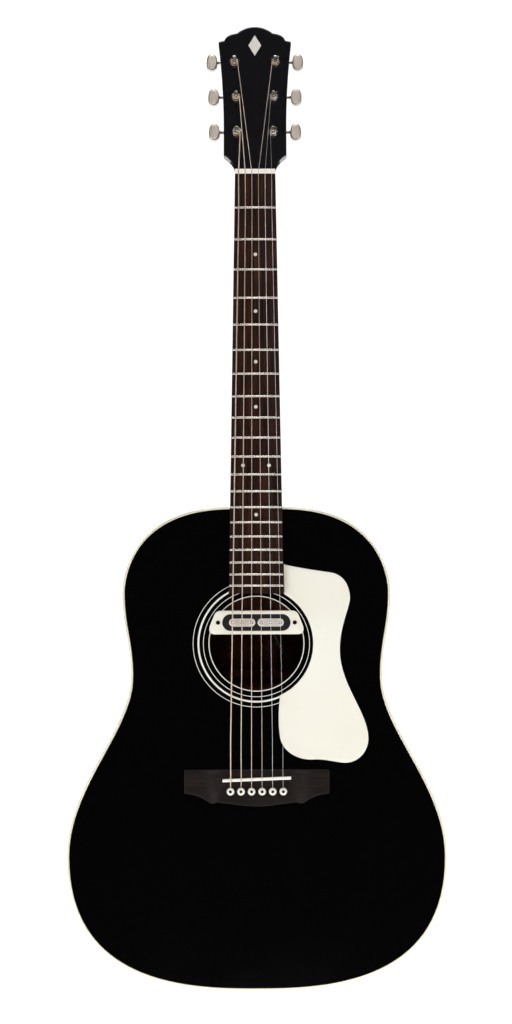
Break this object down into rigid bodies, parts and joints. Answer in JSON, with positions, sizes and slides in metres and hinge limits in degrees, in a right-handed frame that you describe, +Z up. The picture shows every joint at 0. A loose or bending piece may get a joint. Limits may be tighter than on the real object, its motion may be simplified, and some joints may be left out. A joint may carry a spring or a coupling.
{
  "type": "acoustic guitar",
  "caption": "Steel-string acoustic guitar with a sloping-shouldered hollow body, a sound-hole pickup, and worm-geared tuning machines whose knobs turn the string posts",
  "frame": {"origin": "Mount hanger_seat: on the centreline, in the plane of the soundboard, under the nut edge that faces the fingerboard", "axes": "+X across the strings towards the thin ones, +Y from the front to the back, +Z up the neck towards the headstock"},
  "size_m": [0.4104, 0.1381, 1.0486],
  "materials": {
    "black_lacquer": "black gloss lacquer over wood",
    "cream_plastic": "polished cream plastic",
    "mahogany": "plain mahogany, unfinished",
    "spruce": "planed spruce, unfinished",
    "maple": "planed maple, unfinished",
    "rosewood": "oiled rosewood",
    "bone": "polished bone",
    "nickel_plate": "satin nickel plate",
    "fret_wire": "polished nickel silver",
    "steel": "zinc-plated steel",
    "brass": "machined brass",
    "pearl": "polished mother-of-pearl",
    "black_plastic": "black moulded plastic",
    "black_rubber": "black cable jacket",
    "bronze_winding": "phosphor-bronze winding",
    "plain_steel": "plain plated steel wire"
  },
  "bodies": {
    "guitar": {"top": "black_lacquer", "back": "black_lacquer", "side_bass": "black_lacquer", "side_treble": "black_lacquer", "binding": "cream_plastic", "linings": "mahogany", "neck_block": "mahogany", "end_block": "mahogany", "top_braces": "spruce", "bridge_plate": "maple", "back_braces": "mahogany", "back_strip": "mahogany", "rosette": "cream_plastic", "pickguard": "cream_plastic", "bridge": "rosewood", "saddle": "bone", "bridge_pins": "cream_plastic", "output_jack": "nickel_plate", "strap_button": "nickel_plate", "neck": "black_lacquer", "headstock_veneer": "black_lacquer", "truss_rod": "steel", "fingerboard": "rosewood", "frets": "fret_wire", "pearl_inlays": "pearl", "nut": "bone", "heel_cap": "cream_plastic", "pickup_cover": "cream_plastic", "pickup_core": "black_plastic", "pickup_coils": "nickel_plate", "pickup_poles": "fret_wire", "pickup_clamps": "nickel_plate", "pickup_lead": "black_rubber", "tuner_bushings": "nickel_plate", "tuner_plates": "nickel_plate", "tuner_screws": "nickel_plate", "string_1": "plain_steel", "string_2": "plain_steel", "string_3": "bronze_winding", "string_4": "bronze_winding", "string_5": "bronze_winding", "string_6": "bronze_winding"},
    "post_body_1": {"post_1": "nickel_plate", "gear_1": "brass"},
    "knob_body_1": {"knob_1": "nickel_plate"},
    "post_body_2": {"post_2": "nickel_plate", "gear_2": "brass"},
    "knob_body_2": {"knob_2": "nickel_plate"},
    "post_body_3": {"post_3": "nickel_plate", "gear_3": "brass"},
    "knob_body_3": {"knob_3": "nickel_plate"},
    "post_body_4": {"post_4": "nickel_plate", "gear_4": "brass"},
    "knob_body_4": {"knob_4": "nickel_plate"},
    "post_body_5": {"post_5": "nickel_plate", "gear_5": "brass"},
    "knob_body_5": {"knob_5": "nickel_plate"},
    "post_body_6": {"post_6": "nickel_plate", "gear_6": "brass"},
    "knob_body_6": {"knob_6": "nickel_plate"}
  },
  "joints": [
    {"name": "knob_turn_1", "type": "hinge", "parent": "guitar", "child": "knob_body_1", "pos_m": [0.0196, 0.03025, 0.0488], "axis": [1, 0, 0], "continuous": true},
    {"name": "post_turn_1", "type": "hinge", "parent": "guitar", "child": "post_body_1", "pos_m": [0.0196, 0.00843, 0.04682], "axis": [0, -0.9703, 0.2419], "continuous": true},
    {"name": "knob_turn_2", "type": "hinge", "parent": "guitar", "child": "knob_body_2", "pos_m": [0.0204, 0.0401, 0.08829], "axis": [1, 0, 0], "continuous": true},
    {"name": "post_turn_2", "type": "hinge", "parent": "guitar", "child": "post_body_2", "pos_m": [0.0204, 0.01827, 0.08631], "axis": [0, -0.9703, 0.2419], "continuous": true},
    {"name": "knob_turn_3", "type": "hinge", "parent": "guitar", "child": "knob_body_3", "pos_m": [0.0223, 0.04995, 0.12778], "axis": [1, 0, 0], "continuous": true},
    {"name": "post_turn_3", "type": "hinge", "parent": "guitar", "child": "post_body_3", "pos_m": [0.0223, 0.02812, 0.1258], "axis": [0, -0.9703, 0.2419], "continuous": true},
    {"name": "knob_turn_4", "type": "hinge", "parent": "guitar", "child": "knob_body_4", "pos_m": [-0.0223, 0.04995, 0.12778], "axis": [1, 0, 0], "continuous": true},
    {"name": "post_turn_4", "type": "hinge", "parent": "guitar", "child": "post_body_4", "pos_m": [-0.0223, 0.02812, 0.1258], "axis": [0, -0.9703, 0.2419], "continuous": true},
    {"name": "knob_turn_5", "type": "hinge", "parent": "guitar", "child": "knob_body_5", "pos_m": [-0.0204, 0.0401, 0.08829], "axis": [1, 0, 0], "continuous": true},
    {"name": "post_turn_5", "type": "hinge", "parent": "guitar", "child": "post_body_5", "pos_m": [-0.0204, 0.01827, 0.08631], "axis": [0, -0.9703, 0.2419], "continuous": true},
    {"name": "knob_turn_6", "type": "hinge", "parent": "guitar", "child": "knob_body_6", "pos_m": [-0.0196, 0.03025, 0.0488], "axis": [1, 0, 0], "continuous": true},
    {"name": "post_turn_6", "type": "hinge", "parent": "guitar", "child": "post_body_6", "pos_m": [-0.0196, 0.00843, 0.04682], "axis": [0, -0.9703, 0.2419], "continuous": true}
  ],
  "couplings": [
    {"joint": "post_turn_1", "follows": "knob_turn_1", "ratio": -0.071429},
    {"joint": "post_turn_2", "follows": "knob_turn_2", "ratio": -0.071429},
    {"joint": "post_turn_3", "follows": "knob_turn_3", "ratio": -0.071429},
    {"joint": "post_turn_4", "follows": "knob_turn_4", "ratio": -0.071429},
    {"joint": "post_turn_5", "follows": "knob_turn_5", "ratio": -0.071429},
    {"joint": "post_turn_6", "follows": "knob_turn_6", "ratio": -0.071429}
  ]
}
